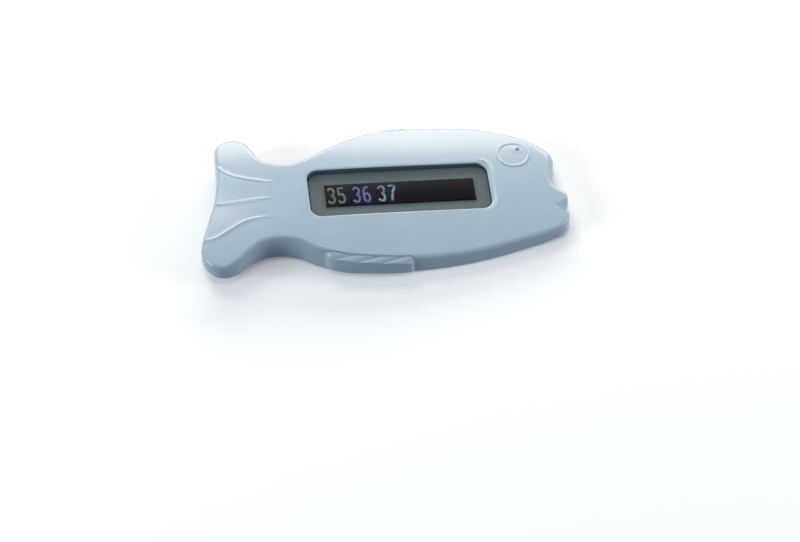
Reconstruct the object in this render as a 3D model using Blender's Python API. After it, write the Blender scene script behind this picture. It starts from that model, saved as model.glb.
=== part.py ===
"""Fish-shaped bath thermometer, lying on its flat belly. Metres, +X to the nose, +Z up.

A moulded front shell carries the whole outside: the crowned back, the side walls, the side fins,
the raised eye and tail rays, the mouth, and the pocket of the window. A cover closes it from below.
The window pocket holds a grey card, and the black liquid crystal strip lies on that card.
The origin is under the middle of the fish, on the surface that it rests on.
"""

import math

import bmesh
import bpy
import numpy as np
from mathutils import Matrix, Vector

# Overall size of the fish.
BODY_LENGTH = 0.1500
BODY_WIDTH = 0.0688

# Heights of the top along the middle line, from the tail to the nose.
TAIL_HEIGHT = 0.0148
STEM_HEIGHT = 0.0160
WINDOW_HEIGHT = 0.0130
NOSE_HEIGHT = 0.0096
RIDGE_STATIONS = (-0.500, -0.233, 0.133, 0.500)
CROWN_DROP = 0.0038

# The belly is flat between these places and sweeps up towards both ends.
FLAT_REAR = -0.0200
FLAT_FRONT = 0.0400
TAIL_LIFT = 0.0052
NOSE_LIFT = 0.0011

# Shell, cover and the joint between them.
WALL = 0.0024
RIM = 0.0016
COVER_THICKNESS = 0.0018
CLEARANCE = 0.0003
TOP_ROUND = 0.0020
BASE_ROUND = 0.0013
COVER_ROUND = 0.0004

# Window pocket, card and strip. The window is turned a little, by the angle in degrees.
WINDOW_LENGTH = 0.0737
WINDOW_WIDTH = 0.0239
WINDOW_CORNER = 0.0044
WINDOW_X = 0.0069
WINDOW_Y = -0.0012
WINDOW_TURN = 1.2
POCKET_WALL = 0.0016
CARD_DEPTH = 0.0031
CARD_THICKNESS = 0.0008
STRIP_LENGTH = 0.0615
STRIP_WIDTH = 0.0112
STRIP_THICKNESS = 0.0004
STRIP_X = 0.0002
STRIP_Y = -0.0003

# Eye and pupil, placed from the nose and from the edge of the back. The eye is a raised rim
# round a shallow dish.
EYE_DIAMETER = 0.0147
EYE_RAISE = 0.0007
EYE_RIM_WIDTH = 0.0012
EYE_RIM_ROUND = 0.0004
EYE_DISH_DEPTH = 0.0004
EYE_FROM_NOSE = 0.0198
EYE_FROM_BACK = 0.0190
PUPIL_DIAMETER = 0.0021
PUPIL_DEPTH = 0.0005
PUPIL_FLOOR_SHARE = 0.5
PUPIL_FORWARD = 0.0023
PUPIL_OUT = 0.0027

# Mouth, cut into the edge of the top at the nose.
MOUTH_LENGTH = 0.0072
MOUTH_OPENING = 0.0074
MOUTH_DEPTH = 0.0020
MOUTH_POINT_DEPTH = 0.0004

# Side fins, the same on both sides, and their slanting ribs.
FIN_REAR = -0.0253
FIN_FRONT = 0.0092
FAR_FIN_AHEAD = 0.0045
FIN_REACH = 0.0022
FIN_FOOT_REACH = 0.0015
FIN_ROOT = 0.0016
FIN_FOOT_SHARE = 0.16
FIN_SHOULDER_SHARE = 0.83
FIN_TOP_SHARE = 0.97
NEAR_FIN_SWELL = ((0.0000, 0.45), (0.0029, 0.85), (0.0058, 1.00))
FAR_FIN_SWELL = ((0.0000, 0.20), (0.0345, 0.90))
RIB_COUNT = 3
RIB_PITCH = 0.0094
RIB_FROM_REAR = 0.0085
RIB_SLANT = 0.0056
RIB_RADIUS = 0.0012
RIB_SINK = 0.0008
RIB_SHARES = (0.08, 0.36, 0.64)
RIB_SWELL = (0.6, 1.0, 0.6)

# Tail rays.
RAY_RADIUS = 0.0006
RAY_SINK = 0.0002
RAY_TIP_SHARE = 0.6

# Fineness of the meshes.
OUTLINE_STEPS = 3
GRID_PITCH = 0.0065
ROUND_SEGMENTS = 3
DISC_SEGMENTS = 40
FIN_STATIONS = 13
TOP_SKY = 0.0300
ROUND_LIMIT = 0.9
WELD_REACH = 0.000005

# Outline of the fish seen from above, as shares of half the length and half the width,
# anticlockwise from the middle of the tail's rear edge.
OUTLINE = (
    (-0.911, -0.073), (-0.952, -0.367), (-0.987, -0.610), (-0.995, -0.763), (-0.960, -0.915),
    (-0.893, -0.977), (-0.824, -0.936), (-0.751, -0.809), (-0.671, -0.692), (-0.576, -0.654),
    (-0.473, -0.704), (-0.380, -0.818), (-0.253, -0.918), (-0.107, -0.968), (0.107, -0.994),
    (0.320, -0.977), (0.533, -0.906), (0.720, -0.804), (0.873, -0.707), (0.963, -0.613),
    (0.985, -0.516), (0.976, -0.422), (0.989, -0.282), (0.987, -0.176), (0.951, -0.076),
    (0.935, 0.076), (0.941, 0.249), (0.944, 0.446), (0.899, 0.592), (0.800, 0.742),
    (0.667, 0.877), (0.507, 0.971), (0.347, 0.994), (0.160, 0.994), (0.000, 0.956),
    (-0.133, 0.856), (-0.273, 0.695), (-0.393, 0.534), (-0.480, 0.460), (-0.567, 0.478),
    (-0.643, 0.569), (-0.684, 0.751), (-0.728, 0.900), (-0.803, 0.947), (-0.869, 0.874),
    (-0.887, 0.704), (-0.884, 0.411), (-0.894, 0.150),
)

# Middle of the mouth, in the same shares of half the width, between the two lips of the outline.
MOUTH_SHARE = -0.369

# Raised rays of the tail, in the same shares, each from the rear edge to the stem.
TAIL_RAYS = (
    (
        (-0.878, 0.472), (-0.848, 0.381), (-0.807, 0.308),
        (-0.755, 0.252), (-0.692, 0.202), (-0.592, 0.152),
    ),
    (
        (-0.896, -0.120), (-0.847, -0.122), (-0.777, -0.111),
        (-0.712, -0.102), (-0.648, -0.094), (-0.600, -0.092),
    ),
    (
        (-0.958, -0.608), (-0.915, -0.592), (-0.876, -0.548), (-0.820, -0.475),
        (-0.765, -0.413), (-0.711, -0.378), (-0.657, -0.367), (-0.609, -0.368),
    ),
)


def clear_scene():
    for obj in list(bpy.data.objects):
        bpy.data.objects.remove(obj, do_unlink=True)


def new_collection(name, hidden=False):
    collection = bpy.data.collections.new(name)
    bpy.context.scene.collection.children.link(collection)
    collection.hide_render = hidden
    return collection


def ridge_height(x):
    """Height of the top over the middle line: the cubic through the four named heights."""
    heights = (TAIL_HEIGHT, STEM_HEIGHT, WINDOW_HEIGHT, NOSE_HEIGHT)
    curve = np.polyfit(RIDGE_STATIONS, heights, 3)
    return float(np.polyval(curve, x / BODY_LENGTH))


def top_height(x, y):
    return ridge_height(x) - CROWN_DROP * (y / (BODY_WIDTH / 2)) ** 2


def keel_height(x):
    """Height of the belly: zero over the flat, with a smooth rise to each end."""
    rear = max(0.0, FLAT_REAR - x) / (BODY_LENGTH / 2 + FLAT_REAR)
    front = max(0.0, x - FLAT_FRONT) / (BODY_LENGTH / 2 - FLAT_FRONT)
    return TAIL_LIFT * rear ** 2 + NOSE_LIFT * front ** 2


def pocket_slope():
    """Rise of the window's floor for each metre along X, from the ridge at the window's two ends."""
    front = WINDOW_X + WINDOW_LENGTH / 2
    rear = WINDOW_X - WINDOW_LENGTH / 2
    return (ridge_height(front) - ridge_height(rear)) / WINDOW_LENGTH


def pocket_plane(x, depth):
    """Height of the flat that lies the given depth below the window's rim."""
    return ridge_height(WINDOW_X) - depth + pocket_slope() * (x - WINDOW_X)


def new_object(name, mesh, collection):
    obj = bpy.data.objects.new(name, mesh)
    collection.objects.link(obj)
    return obj


def as_cutter(obj):
    obj.hide_render = True
    obj.display_type = "WIRE"
    return obj


def mesh_from_curve(name, data):
    """Turns curve data into a mesh with its caps welded on."""
    guide = bpy.data.objects.new(name + "_guide", data)
    bpy.context.scene.collection.objects.link(guide)
    bpy.context.view_layer.update()
    graph = bpy.context.evaluated_depsgraph_get()
    mesh = bpy.data.meshes.new_from_object(guide.evaluated_get(graph))
    mesh.name = name
    bpy.data.objects.remove(guide, do_unlink=True)
    bm = bmesh.new()
    bm.from_mesh(mesh)
    bmesh.ops.remove_doubles(bm, verts=bm.verts, dist=0.000001)
    bmesh.ops.recalc_face_normals(bm, faces=bm.faces)
    bm.to_mesh(mesh)
    bm.free()
    return mesh


def fish_outline():
    """Points round the fish, anticlockwise, stretched to the named length and width."""
    data = bpy.data.curves.new("outline", "CURVE")
    data.dimensions = "2D"
    data.fill_mode = "NONE"
    data.resolution_u = OUTLINE_STEPS
    spline = data.splines.new("BEZIER")
    spline.bezier_points.add(len(OUTLINE) - 1)
    for point, (x, y) in zip(spline.bezier_points, OUTLINE):
        point.co = (x * BODY_LENGTH / 2, y * BODY_WIDTH / 2, 0)
        point.handle_left_type = "AUTO"
        point.handle_right_type = "AUTO"
    spline.use_cyclic_u = True
    mesh = mesh_from_curve("outline", data)
    points = np.array([vertex.co[:2] for vertex in mesh.vertices])
    middle = (points.min(axis=0) + points.max(axis=0)) / 2
    size = points.max(axis=0) - points.min(axis=0)
    return (points - middle) * (BODY_LENGTH, BODY_WIDTH) / size


def normals_out(points):
    ahead = np.roll(points, -1, axis=0) - np.roll(points, 1, axis=0)
    ahead /= np.linalg.norm(ahead, axis=1)[:, None]
    return np.stack([ahead[:, 1], -ahead[:, 0]], axis=1)


def inset(points, distance):
    """The outline moved inwards, without the loops that it would make at tight bends."""
    least = distance * 0.97
    moved = points - normals_out(points) * distance
    starts = points
    runs = np.roll(points, -1, axis=0) - points
    kept = []
    for point in moved:
        share = ((point - starts) * runs).sum(axis=1) / (runs ** 2).sum(axis=1)
        nearest = starts + runs * np.clip(share, 0, 1)[:, None]
        if np.linalg.norm(nearest - point, axis=1).min() > least:
            kept.append(point)
    return np.array(kept)


def rounded_rectangle(length, width, corner, centre):
    """Points round a rectangle that is turned as the window is."""
    points = []
    turned = Matrix.Rotation(math.radians(WINDOW_TURN), 2)
    for turn, (sx, sy) in enumerate(((1, 1), (-1, 1), (-1, -1), (1, -1))):
        middle = Vector((sx * (length / 2 - corner), sy * (width / 2 - corner)))
        for step in range(ROUND_SEGMENTS * 2 + 1):
            angle = math.radians(90 * (turn + step / (ROUND_SEGMENTS * 2)))
            place = middle + corner * Vector((math.cos(angle), math.sin(angle)))
            points.append(turned @ place + Vector(centre))
    return points


def slab(name, points, thickness):
    """A flat plate on z = 0 with the given outline, as a mesh."""
    data = bpy.data.curves.new(name, "CURVE")
    data.dimensions = "2D"
    data.fill_mode = "BOTH"
    data.extrude = thickness / 2
    spline = data.splines.new("POLY")
    spline.points.add(len(points) - 1)
    for point, (x, y) in zip(spline.points, points):
        point.co = (x, y, 0, 1)
    spline.use_cyclic_u = True
    mesh = mesh_from_curve(name, data)
    bm = bmesh.new()
    bm.from_mesh(mesh)
    bmesh.ops.translate(bm, verts=bm.verts, vec=(0, 0, thickness / 2))
    for direction in (1, -1):
        cap = [face for face in bm.faces if face.normal.z * direction > 0.9]
        bmesh.ops.dissolve_faces(bm, faces=cap)
    bm.to_mesh(mesh)
    bm.free()
    return mesh


def round_edge(bm, height, radius):
    """Rounds the edge that runs round a slab at the given height."""
    edges = []
    for edge in bm.edges:
        level = all(abs(vertex.co.z - height) < 0.000001 for vertex in edge.verts)
        if level and edge.calc_face_angle(0) > 1:
            edges.append(edge)
    bmesh.ops.bevel(bm, geom=edges, offset=radius, segments=ROUND_SEGMENTS, affect="EDGES", profile=0.5)


def hull(name, points, low, high, collection, low_round=0.0, high_round=0.0):
    """A solid between two height functions, inside the given outline.

    It starts as a flat slab with rounded edges, is cut into a grid, and is then pushed to the heights.
    """
    mesh = slab(name, points, TOP_SKY)
    bm = bmesh.new()
    bm.from_mesh(mesh)
    if low_round:
        round_edge(bm, 0.0, low_round)
    if high_round:
        round_edge(bm, TOP_SKY, high_round)
    for axis, size in ((0, BODY_LENGTH), (1, BODY_WIDTH)):
        normal = Vector((1, 0, 0)) if axis == 0 else Vector((0, 1, 0))
        count = round(size / GRID_PITCH)
        for step in range(1, count):
            place = normal * (size * (step / count - 0.5))
            everything = bm.verts[:] + bm.edges[:] + bm.faces[:]
            bmesh.ops.bisect_plane(bm, geom=everything, plane_co=place, plane_no=normal, dist=0.00001)
    for vertex in bm.verts:
        x, y, z = vertex.co
        if z < TOP_SKY / 2:
            vertex.co.z = low(x, y) + z
        else:
            vertex.co.z = high(x, y) + z - TOP_SKY
    bmesh.ops.triangulate(bm, faces=bm.faces)
    bm.to_mesh(mesh)
    bm.free()
    return new_object(name, mesh, collection)


def tube(name, points, radii, radius, collection):
    """A bar or ridge: a round tube through the points, with closed ends."""
    data = bpy.data.curves.new(name, "CURVE")
    data.dimensions = "3D"
    data.bevel_depth = radius
    data.bevel_resolution = 1
    data.use_fill_caps = True
    spline = data.splines.new("POLY")
    spline.points.add(len(points) - 1)
    for point, place, share in zip(spline.points, points, radii):
        point.co = (*place, 1)
        point.radius = share
    return new_object(name, mesh_from_curve(name, data), collection)


def boolean(obj, name, operation, other):
    modifier = obj.modifiers.new(name, "BOOLEAN")
    modifier.operation = operation
    modifier.solver = "EXACT"
    if isinstance(other, bpy.types.Collection):
        modifier.operand_type = "COLLECTION"
        modifier.collection = other
    else:
        modifier.object = other


def wall_place(outline, x, side, outwards, share):
    """A point on the side wall: at x, a distance outside the outline, at a share of the wall's height."""
    flank = [place for place in outline if place[1] * side > 0]
    flank.sort(key=lambda place: place[0])
    xs = [place[0] for place in flank]
    ys = [place[1] for place in flank]
    y = float(np.interp(x, xs, ys))
    slope = float(np.interp(x + 0.001, xs, ys) - np.interp(x - 0.001, xs, ys)) / 0.002
    normal = Vector((-slope * side, side)).normalized()
    place = Vector((x, y)) + normal * outwards
    height = keel_height(x) + share * (top_height(x, y) - keel_height(x))
    return Vector((place.x, place.y, height))


def fin_swell(x, side):
    """Share of the full reach that the fin of this side has at x."""
    ahead = FAR_FIN_AHEAD if side > 0 else 0.0
    places, shares = zip(*(FAR_FIN_SWELL if side > 0 else NEAR_FIN_SWELL))
    return float(np.interp(x - FIN_REAR - ahead, places, shares))


def fin(outline, side, collection):
    """A side fin: one section of foot, shoulder and sloping top, carried along the wall.

    The near fin swells up at its rear end, and the far one swells slowly along its whole length.
    """
    section = (
        (-FIN_ROOT, FIN_FOOT_SHARE), (FIN_FOOT_REACH, FIN_FOOT_SHARE),
        (FIN_REACH, FIN_SHOULDER_SHARE), (-FIN_ROOT, FIN_TOP_SHARE),
    )
    ahead = FAR_FIN_AHEAD if side > 0 else 0.0
    bm = bmesh.new()
    rings = []
    for x in np.linspace(FIN_REAR + ahead, FIN_FRONT + ahead, FIN_STATIONS):
        ring = []
        for out, share in section:
            outwards = out * fin_swell(x, side) if out > 0 else out
            ring.append(bm.verts.new(wall_place(outline, float(x), side, outwards, share)))
        rings.append(ring)
    for ring, following in zip(rings, rings[1:]):
        for corner in range(len(section)):
            beside = (corner + 1) % len(section)
            bm.faces.new((ring[corner], ring[beside], following[beside], following[corner]))
    bm.faces.new(rings[0])
    bm.faces.new(rings[-1])
    bmesh.ops.recalc_face_normals(bm, faces=bm.faces)
    bmesh.ops.triangulate(bm, faces=bm.faces)
    name = "fin_near" if side < 0 else "fin_far"
    mesh = bpy.data.meshes.new(name)
    bm.to_mesh(mesh)
    bm.free()
    return new_object(name, mesh, collection)


def fin_slope(outline, x, side, share):
    """A point on the fin's sloping top, at a share of the way from its shoulder to its root."""
    reach = FIN_REACH * fin_swell(x, side)
    outwards = reach - (reach + FIN_ROOT) * share
    height = FIN_SHOULDER_SHARE + (FIN_TOP_SHARE - FIN_SHOULDER_SHARE) * share
    return wall_place(outline, x, side, outwards, height)


def fin_ribs(outline, side, collection):
    """Slanting ribs on the sloping top of a fin, each thickest at its middle."""
    ahead = FAR_FIN_AHEAD if side > 0 else 0.0
    for index in range(RIB_COUNT):
        x = FIN_REAR + RIB_FROM_REAR + ahead + index * RIB_PITCH
        points = []
        for share in RIB_SHARES:
            ahead_of_foot = RIB_SLANT * (share - RIB_SHARES[0]) / (RIB_SHARES[-1] - RIB_SHARES[0])
            place = fin_slope(outline, x + ahead_of_foot, side, share)
            place.z -= RIB_SINK
            points.append(place)
        name = ("rib_near_" if side < 0 else "rib_far_") + str(index + 1)
        tube(name, points, RIB_SWELL, RIB_RADIUS, collection)


def eye_frame():
    """A matrix that stands the eye on the top surface, square to it."""
    x = BODY_LENGTH / 2 - EYE_FROM_NOSE
    y = BODY_WIDTH / 2 - EYE_FROM_BACK
    step = 0.0005
    run_x = (top_height(x + step, y) - top_height(x - step, y)) / (2 * step)
    run_y = (top_height(x, y + step) - top_height(x, y - step)) / (2 * step)
    normal = Vector((-run_x, -run_y, 1)).normalized()
    turn = Vector((0, 0, 1)).rotation_difference(normal).to_matrix().to_4x4()
    return Matrix.Translation((x, y, top_height(x, y))) @ turn


def disc(name, diameter, low, high, frame, collection, top_round=0.0, narrow=1.0):
    """A round solid between two heights of its own frame, drawn in at its foot by the share narrow."""
    bm = bmesh.new()
    depth = high - low
    bmesh.ops.create_cone(
        bm, cap_ends=True, segments=DISC_SEGMENTS,
        radius1=diameter / 2 * narrow, radius2=diameter / 2, depth=depth,
    )
    bmesh.ops.translate(bm, verts=bm.verts, vec=(0, 0, low + depth / 2))
    if top_round:
        round_edge(bm, high, top_round)
    bm.transform(frame)
    mesh = bpy.data.meshes.new(name)
    bm.to_mesh(mesh)
    bm.free()
    return new_object(name, mesh, collection)


def eye(collection):
    return disc("eye", EYE_DIAMETER, -WALL / 2, EYE_RAISE, eye_frame(), collection, EYE_RIM_ROUND)


def dish_cutter(collection):
    """The dish inside the rim of the eye, a little narrower at its floor."""
    diameter = EYE_DIAMETER - 2 * EYE_RIM_WIDTH
    floor = EYE_RAISE - EYE_DISH_DEPTH
    high = EYE_RAISE + EYE_DISH_DEPTH
    narrow = 1 - 2 * EYE_DISH_DEPTH / diameter
    return as_cutter(disc("dish_cut", diameter, floor, high, eye_frame(), collection, narrow=narrow))


def pupil_cutter(collection):
    frame = eye_frame() @ Matrix.Translation((PUPIL_FORWARD, PUPIL_OUT, 0))
    floor = EYE_RAISE - EYE_DISH_DEPTH - PUPIL_DEPTH
    high = EYE_RAISE + PUPIL_DEPTH
    dimple = disc(
        "pupil_cut", PUPIL_DIAMETER, floor, high, frame, collection, narrow=PUPIL_FLOOR_SHARE
    )
    return as_cutter(dimple)


def tail_rays(collection):
    for index, shares in enumerate(TAIL_RAYS):
        points = []
        for x, y in ((x * BODY_LENGTH / 2, y * BODY_WIDTH / 2) for x, y in shares):
            points.append((x, y, top_height(x, y) - RAY_SINK))
        x, y, z = points[-1]
        points[-1] = (x, y, z - RAY_RADIUS)
        radii = [1.0] * (len(points) - 1) + [RAY_TIP_SHARE]
        tube("tail_ray_" + str(index + 1), points, radii, RAY_RADIUS, collection)


def mouth_cutter(collection):
    """A wedge that opens towards the nose and deepens from its point to the edge."""
    nose = BODY_LENGTH / 2
    middle = MOUTH_SHARE * BODY_WIDTH / 2
    reach = nose + WALL
    point_x = nose - MOUTH_LENGTH
    half = MOUTH_OPENING / 2 * (reach - point_x) / MOUTH_LENGTH
    corners = ((point_x, middle), (reach, middle - half), (reach, middle + half))
    mesh = slab("mouth_cut", corners, TOP_SKY)
    for vertex in mesh.vertices:
        x, y, z = vertex.co
        share = (x - point_x) / MOUTH_LENGTH
        if z < TOP_SKY / 2:
            depth = MOUTH_POINT_DEPTH + (MOUTH_DEPTH - MOUTH_POINT_DEPTH) * share
            vertex.co.z = top_height(x, middle) - depth
    return as_cutter(new_object("mouth_cut", mesh, collection))


def pocket_block(name, grow, depth, collection):
    """The window's outline as a column, from the plane at the given depth up past the top."""
    centre = (WINDOW_X, WINDOW_Y)
    points = rounded_rectangle(
        WINDOW_LENGTH + 2 * grow, WINDOW_WIDTH + 2 * grow, WINDOW_CORNER + grow, centre
    )
    mesh = slab(name, points, TOP_SKY)
    for vertex in mesh.vertices:
        if vertex.co.z < TOP_SKY / 2:
            vertex.co.z = pocket_plane(vertex.co.x, depth)
    return as_cutter(new_object(name, mesh, collection))


def front_shell(outline, parts, cutters, details):
    shell = hull(
        "front_shell", outline, lambda x, y: keel_height(x), top_height, parts,
        min(BASE_ROUND, RIM * ROUND_LIMIT), TOP_ROUND,
    )
    for side in (-1, 1):
        fin(outline, side, details)
        fin_ribs(outline, side, details)
    eye(details)
    tail_rays(details)
    for detail in details.objects:
        as_cutter(detail)

    pocket_depth = CARD_DEPTH + CARD_THICKNESS + CLEARANCE
    room = inset(outline, WALL)
    cavity = as_cutter(hull(
        "cavity_cut", room,
        lambda x, y: keel_height(x) - WALL,
        lambda x, y: top_height(x, y) - WALL,
        cutters,
    ))
    kept = pocket_block("pocket_keep", POCKET_WALL, pocket_depth + POCKET_WALL, cutters)
    boolean(cavity, "pocket_keep", "DIFFERENCE", kept)
    seat = as_cutter(hull(
        "cover_seat_cut", inset(outline, RIM),
        lambda x, y: keel_height(x) - WALL,
        lambda x, y: keel_height(x) + COVER_THICKNESS + CLEARANCE,
        cutters,
    ))
    boolean(shell, "raised_details", "UNION", details)
    boolean(shell, "cavity", "DIFFERENCE", cavity)
    boolean(shell, "cover_seat", "DIFFERENCE", seat)
    pocket = pocket_block("pocket_cut", 0.0, pocket_depth, cutters)
    boolean(shell, "window_pocket", "DIFFERENCE", pocket)
    boolean(shell, "eye_dish", "DIFFERENCE", dish_cutter(cutters))
    boolean(shell, "pupil", "DIFFERENCE", pupil_cutter(cutters))
    boolean(shell, "mouth", "DIFFERENCE", mouth_cutter(cutters))
    weld = shell.modifiers.new("weld_slivers", "WELD")
    weld.merge_threshold = WELD_REACH
    return shell


def back_cover(outline, parts):
    return hull(
        "back_cover", inset(outline, RIM + CLEARANCE),
        lambda x, y: keel_height(x),
        lambda x, y: keel_height(x) + COVER_THICKNESS,
        parts, low_round=COVER_ROUND,
    )


def flat_insert(name, length, width, corner, thickness, centre, depth, parts):
    """A flat sheet that lies parallel to the window's floor, its top at the given depth."""
    points = rounded_rectangle(length, width, corner, (0, 0))
    obj = new_object(name, slab(name, points, thickness), parts)
    tilt = math.atan(pocket_slope())
    obj.rotation_euler = (0, -tilt, 0)
    x, y = centre
    obj.location = (x, y, pocket_plane(x, depth) - thickness)
    return obj


def backing_card(parts):
    return flat_insert(
        "backing_card", WINDOW_LENGTH - 2 * CLEARANCE, WINDOW_WIDTH - 2 * CLEARANCE,
        WINDOW_CORNER - CLEARANCE, CARD_THICKNESS, (WINDOW_X, WINDOW_Y), CARD_DEPTH, parts,
    )


def crystal_strip(parts):
    depth = CARD_DEPTH - CLEARANCE - STRIP_THICKNESS
    return flat_insert(
        "crystal_strip", STRIP_LENGTH, STRIP_WIDTH, STRIP_THICKNESS,
        STRIP_THICKNESS, (WINDOW_X + STRIP_X, WINDOW_Y + STRIP_Y), depth, parts,
    )


def finish(obj, colour, roughness):
    material = bpy.data.materials.new(obj.name + "_finish")
    material.use_nodes = True
    shader = material.node_tree.nodes["Principled BSDF"]
    shader.inputs["Base Color"].default_value = (*colour, 1)
    shader.inputs["Roughness"].default_value = roughness
    shader.inputs["Metallic"].default_value = 0.0
    obj.data.materials.clear()
    obj.data.materials.append(material)
    obj.data.shade_smooth()
    obj.data.set_sharp_from_angle(angle=math.radians(35))


def build():
    clear_scene()
    parts = new_collection("bath_thermometer")
    cutters = new_collection("cutters", hidden=True)
    details = new_collection("raised_details", hidden=True)
    outline = fish_outline()
    finish(front_shell(outline, parts, cutters, details), (0.42, 0.52, 0.60), 0.35)
    finish(back_cover(outline, parts), (0.42, 0.52, 0.60), 0.40)
    finish(backing_card(parts), (0.14, 0.16, 0.16), 0.70)
    finish(crystal_strip(parts), (0.015, 0.015, 0.016), 0.40)


build()
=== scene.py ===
# %% [markdown]
# # A fish-shaped bath thermometer
# The object is a small float for a baby's bath: a hollow plastic fish with a sunken window in its
# side. In the window lies a liquid crystal strip, whose numbers light up at the water's temperature.
#
# The lesson builds the looks round a imported CAD model, which stays fixed. Each step below makes one
# piece or one finish, and says how it was made and why. First comes the frame: the CAD model is
# loaded.

# %% Load the fixed frame
import math

import bmesh
import bpy
import numpy as np
from mathutils import Matrix, Vector
from mathutils.geometry import delaunay_2d_cdt
from mathutils.kdtree import KDTree


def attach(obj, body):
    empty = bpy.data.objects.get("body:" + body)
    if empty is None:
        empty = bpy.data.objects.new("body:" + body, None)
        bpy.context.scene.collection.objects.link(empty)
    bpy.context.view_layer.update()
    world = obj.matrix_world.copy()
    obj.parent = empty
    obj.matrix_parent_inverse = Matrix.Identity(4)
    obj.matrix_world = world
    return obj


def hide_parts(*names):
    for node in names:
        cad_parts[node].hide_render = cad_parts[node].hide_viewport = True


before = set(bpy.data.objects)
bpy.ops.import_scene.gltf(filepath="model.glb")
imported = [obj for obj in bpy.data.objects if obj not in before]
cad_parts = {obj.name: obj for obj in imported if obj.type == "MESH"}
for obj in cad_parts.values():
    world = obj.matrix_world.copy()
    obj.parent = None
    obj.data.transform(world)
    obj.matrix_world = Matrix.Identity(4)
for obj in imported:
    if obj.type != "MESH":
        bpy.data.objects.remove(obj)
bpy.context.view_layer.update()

print("CAD nodes:", sorted(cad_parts))

# %% [markdown]
# ## Sizes
# All lengths here are in millimetres, and each mesh is turned into metres when it is made. The
# numbers are the ones that the CAD model was drawn with, so a piece that stands for a CAD node
# fits where that node was. Only the rounding of the window's rim is new, because the CAD model
# leaves it out.

# %% Sizes in millimetres
MM = 0.001
BODY_LENGTH = 150.0
BODY_WIDTH = 68.8
RIDGE_STATIONS = (-0.500, -0.233, 0.133, 0.500)
RIDGE_HEIGHTS = (14.8, 16.0, 13.0, 9.6)
CROWN_DROP = 3.8
FLAT_REAR = -20.0
FLAT_FRONT = 40.0
TAIL_LIFT = 5.2
NOSE_LIFT = 1.1
WALL = 2.4
RIM = 1.6
COVER_THICKNESS = 1.8
COVER_ROUND = 0.4
CLEARANCE = 0.3
TOP_ROUND = 2.0
BASE_ROUND = 1.3
WINDOW_LENGTH = 73.7
WINDOW_WIDTH = 23.9
WINDOW_CORNER = 4.4
WINDOW_CENTRE = (6.9, -1.2)
WINDOW_TURN = math.radians(1.2)
WINDOW_RIM = 0.8
POCKET_WALL = 1.6
CARD_DEPTH = 3.1
CARD_THICKNESS = 0.8
STRIP_LENGTH = 61.5
STRIP_WIDTH = 11.2
STRIP_THICKNESS = 0.4
STRIP_CENTRE = (7.1, -1.5)
print("body in mm:", BODY_LENGTH, "by", BODY_WIDTH)

# %% [markdown]
# ## The outline of the fish
# Seen from above, the fish is one smooth closed line: a wide tail, a narrow stem, a long body and a
# blunt nose with two lips. A Bezier curve with automatic handles runs smoothly through a few
# measured points, so a short list is enough for the whole shape. The curve is then read back as
# points, because every patch of the mesh below needs the same ones.

# %% Draw the outline
OUTLINE_SHARES = (
    (-0.911, -0.073), (-0.952, -0.367), (-0.987, -0.610), (-0.995, -0.763), (-0.960, -0.915),
    (-0.893, -0.977), (-0.824, -0.936), (-0.751, -0.809), (-0.671, -0.692), (-0.576, -0.654),
    (-0.473, -0.704), (-0.380, -0.818), (-0.253, -0.918), (-0.107, -0.968), (0.107, -0.994),
    (0.320, -0.977), (0.533, -0.906), (0.720, -0.804), (0.873, -0.707), (0.963, -0.613),
    (0.985, -0.516), (0.976, -0.422), (0.989, -0.282), (0.987, -0.176), (0.951, -0.076),
    (0.935, 0.076), (0.941, 0.249), (0.944, 0.446), (0.899, 0.592), (0.800, 0.742),
    (0.667, 0.877), (0.507, 0.971), (0.347, 0.994), (0.160, 0.994), (0.000, 0.956),
    (-0.133, 0.856), (-0.273, 0.695), (-0.393, 0.534), (-0.480, 0.460), (-0.567, 0.478),
    (-0.643, 0.569), (-0.684, 0.751), (-0.728, 0.900), (-0.803, 0.947), (-0.869, 0.874),
    (-0.887, 0.704), (-0.884, 0.411), (-0.894, 0.150),
)
OUTLINE_STEPS = 12


def smooth_loop(shares, steps):
    """Points round a smooth closed curve through the given shares of half the length and width."""
    data = bpy.data.curves.new("outline", "CURVE")
    data.dimensions = "2D"
    data.fill_mode = "NONE"
    data.resolution_u = steps
    spline = data.splines.new("BEZIER")
    spline.bezier_points.add(len(shares) - 1)
    for point, (x, y) in zip(spline.bezier_points, shares):
        point.co = (x * BODY_LENGTH / 2, y * BODY_WIDTH / 2, 0)
        point.handle_left_type = "AUTO"
        point.handle_right_type = "AUTO"
    spline.use_cyclic_u = True
    guide = bpy.data.objects.new("outline", data)
    bpy.context.scene.collection.objects.link(guide)
    bpy.context.view_layer.update()
    graph = bpy.context.evaluated_depsgraph_get()
    mesh = guide.evaluated_get(graph).to_mesh()
    points = np.array([vertex.co[:2] for vertex in mesh.vertices])
    bpy.data.objects.remove(guide, do_unlink=True)
    middle = (points.min(axis=0) + points.max(axis=0)) / 2
    size = points.max(axis=0) - points.min(axis=0)
    return (points - middle) * (BODY_LENGTH, BODY_WIDTH) / size


outline = smooth_loop(OUTLINE_SHARES, OUTLINE_STEPS)
print("outline points:", len(outline))

# %% [markdown]
# ## Distances and offsets
# Roundings, beads and grooves all depend on one thing: how far a point lies from a line. So a few
# helpers measure that distance for many points at once, tell which points are inside a loop, and
# move a loop inwards. With them a fillet is a formula instead of a modifier, and it stays
# clean also round the tight bends of the lips. Two more draw a rectangle with round corners and
# turn it a little, because the window doesn't lie quite along the fish.

# %% Helpers for distances and loops
INSET_KEPT = 0.97


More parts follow.
